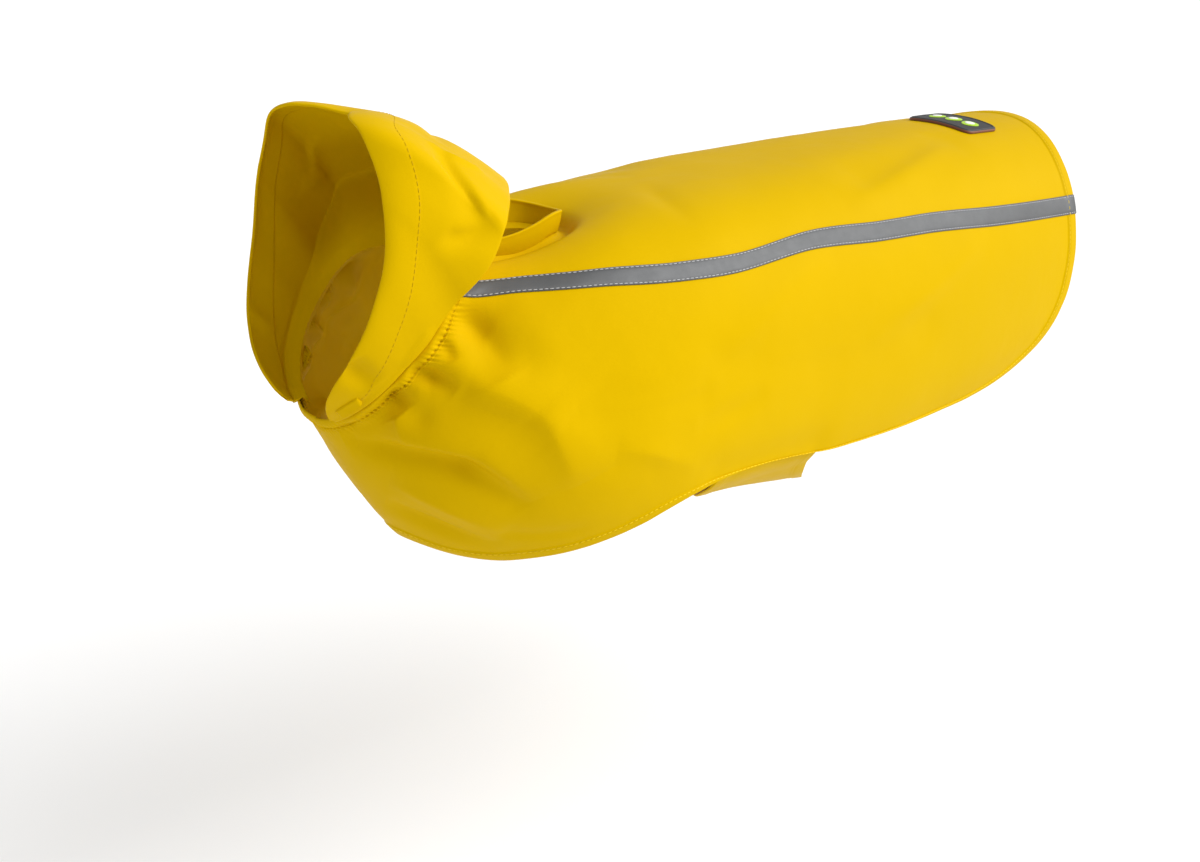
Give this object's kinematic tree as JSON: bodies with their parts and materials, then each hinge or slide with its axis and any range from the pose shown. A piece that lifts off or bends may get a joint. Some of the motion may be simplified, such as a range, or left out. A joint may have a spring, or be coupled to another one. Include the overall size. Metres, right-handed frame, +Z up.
{
  "type": "dog raincoat",
  "caption": "Hooded raincoat for a small dog in its worn shape, open at neck, belly and hem, with a leash slot, side tapes and a belly flap.",
  "frame": {"origin": "inner face of the cloth on the spine, at the seam between the hood and the coat", "axes": "+X along the back towards the tail, -Y towards the wearer's left, +Z up"},
  "size_m": [0.5293, 0.1794, 0.2358],
  "materials": {
    "rain_cloth": "smooth coated satin, yellow",
    "reflective_tape": "grey reflective tape",
    "patch_rubber": "matte black moulded patch"
  },
  "bodies": {
    "root": {"back_panel": "rain_cloth", "side_panel_left": "rain_cloth", "side_panel_right": "rain_cloth", "neck_casing": "rain_cloth", "hood": "rain_cloth", "hood_tab_left": "rain_cloth", "hood_tab_right": "rain_cloth", "leash_collar": "rain_cloth", "belly_flap": "rain_cloth", "reflective_tape_left": "reflective_tape", "reflective_tape_right": "reflective_tape", "label_patch": "patch_rubber"}
  },
  "joints": []
}
